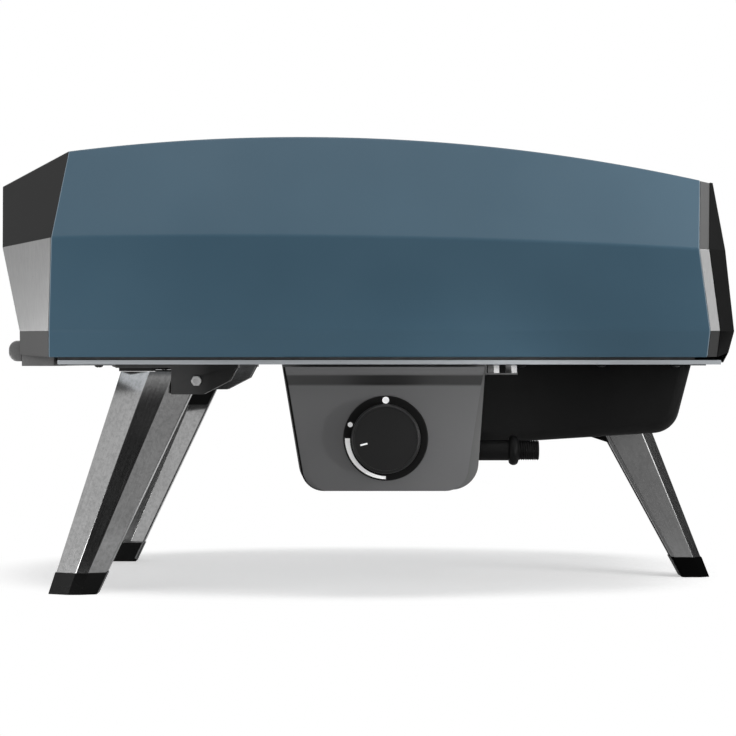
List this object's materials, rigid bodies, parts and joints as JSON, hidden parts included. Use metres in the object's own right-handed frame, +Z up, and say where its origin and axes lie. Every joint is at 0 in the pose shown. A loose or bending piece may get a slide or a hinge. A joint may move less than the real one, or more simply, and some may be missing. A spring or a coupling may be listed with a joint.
{
  "type": "portable gas pizza oven",
  "caption": "Low gas oven with an arched shell and open front, a stone floor inside, a hanging box with a turn knob at one side, and folding legs.",
  "frame": {"origin": "on the floor, below the centre of the bounding box", "axes": "+Z up, -Y out of the oven's mouth, +X towards the side with the control box and knob"},
  "size_m": [0.57, 0.72, 0.4474],
  "materials": {
    "painted_blue": "satin powder coat, slate blue",
    "charcoal_satin": "satin charcoal coat",
    "brushed_steel": "brushed stainless",
    "steel_sheet": "plain stainless sheet",
    "dark_grey": "matt dark grey coat",
    "trim_grey": "satin mid grey coat",
    "panel_grey": "satin grey coat",
    "black_enamel": "heat-proof black coat",
    "black_plastic": "satin black moulding",
    "black_rubber": "matt black rubber",
    "white_print": "white printing ink",
    "stone": "fired cordierite",
    "fibre_blanket": "white ceramic fibre wool",
    "fibre_board": "pressed calcium silicate board",
    "brass": "turned brass",
    "ceramic": "unglazed white ceramic",
    "zinc_steel": "bright zinc plate"
  },
  "bodies": {
    "oven": {"outer_shell": "painted_blue", "insulation_blanket": "fibre_blanket", "inner_liner": "steel_sheet", "rear_blanket": "fibre_blanket", "hood_top": "charcoal_satin", "hood_cheeks": "brushed_steel", "hood_skirts": "dark_grey", "mouth_frame": "brushed_steel", "landing_pan": "steel_sheet", "front_lip": "trim_grey", "floor_board": "fibre_board", "floor_pan": "steel_sheet", "stone_rails": "steel_sheet", "base_pan": "brushed_steel", "base_seal": "black_rubber", "rear_trim_top": "trim_grey", "rear_trim_cheeks": "brushed_steel", "rear_trim_skirts": "dark_grey", "rear_cap": "black_enamel", "rear_cap_screws": "zinc_steel", "burner_tub": "black_enamel", "burner_tube": "steel_sheet", "mixer_tube": "steel_sheet", "air_shutter": "steel_sheet", "gas_jet": "brass", "feed_pipe": "steel_sheet", "burner_saddles": "steel_sheet", "flame_guard": "steel_sheet", "spark_electrode": "ceramic", "thermocouple": "zinc_steel", "control_panel": "panel_grey", "control_housing": "dark_grey", "knob_bezel": "black_plastic", "dial_marks": "white_print", "gas_valve": "brass", "gas_inlet": "black_enamel", "inlet_collar": "black_plastic", "side_strap": "zinc_steel", "strap_spacers": "zinc_steel", "front_bracket_plates": "black_enamel", "front_bracket_cheeks": "brushed_steel", "front_leg_stops": "black_rubber", "front_pivot_bolts": "zinc_steel", "front_pivot_nuts": "zinc_steel", "rear_bracket": "black_enamel", "rear_pivot_pin": "zinc_steel", "base_screws": "zinc_steel"},
    "right_leg": {"front_leg_right": "brushed_steel", "front_leg_hub_right": "black_plastic", "front_foot_right": "black_plastic"},
    "left_leg": {"front_leg_left": "brushed_steel", "front_leg_hub_left": "black_plastic", "front_foot_left": "black_plastic"},
    "back_leg": {"rear_leg": "brushed_steel", "rear_leg_hub": "black_plastic", "rear_foot": "black_plastic"},
    "baking_stone": {"pizza_stone": "stone"},
    "spindle": {"valve_stem": "steel_sheet"},
    "dial": {"knob": "black_plastic", "knob_pointer": "white_print"}
  },
  "joints": [
    {"name": "right_leg_fold", "type": "hinge", "parent": "oven", "child": "right_leg", "pos_m": [0.187, -0.1723, 0.2108], "axis": [1, 0, 0], "range_deg": [0, 115]},
    {"name": "left_leg_fold", "type": "hinge", "parent": "oven", "child": "left_leg", "pos_m": [-0.187, -0.1723, 0.2108], "axis": [1, 0, 0], "range_deg": [0, 115]},
    {"name": "back_leg_fold", "type": "hinge", "parent": "oven", "child": "back_leg", "pos_m": [0, 0.216, 0.165], "axis": [1, 0, 0], "range_deg": [-118, 0]},
    {"name": "stone_slide", "type": "slide", "parent": "oven", "child": "baking_stone", "axis": [0, -1, 0], "range_m": [0, 0.54]},
    {"name": "knob_push", "type": "slide", "parent": "oven", "child": "spindle", "axis": [-1, 0, 0], "range_m": [0, 0.004], "stiffness_N_per_m": 1500, "springref_m": -0.002},
    {"name": "knob_turn", "type": "hinge", "parent": "spindle", "child": "dial", "pos_m": [0.27, 0.0135, 0.1561], "axis": [1, 0, 0], "range_deg": [-103.5, 76.5]}
  ]
}
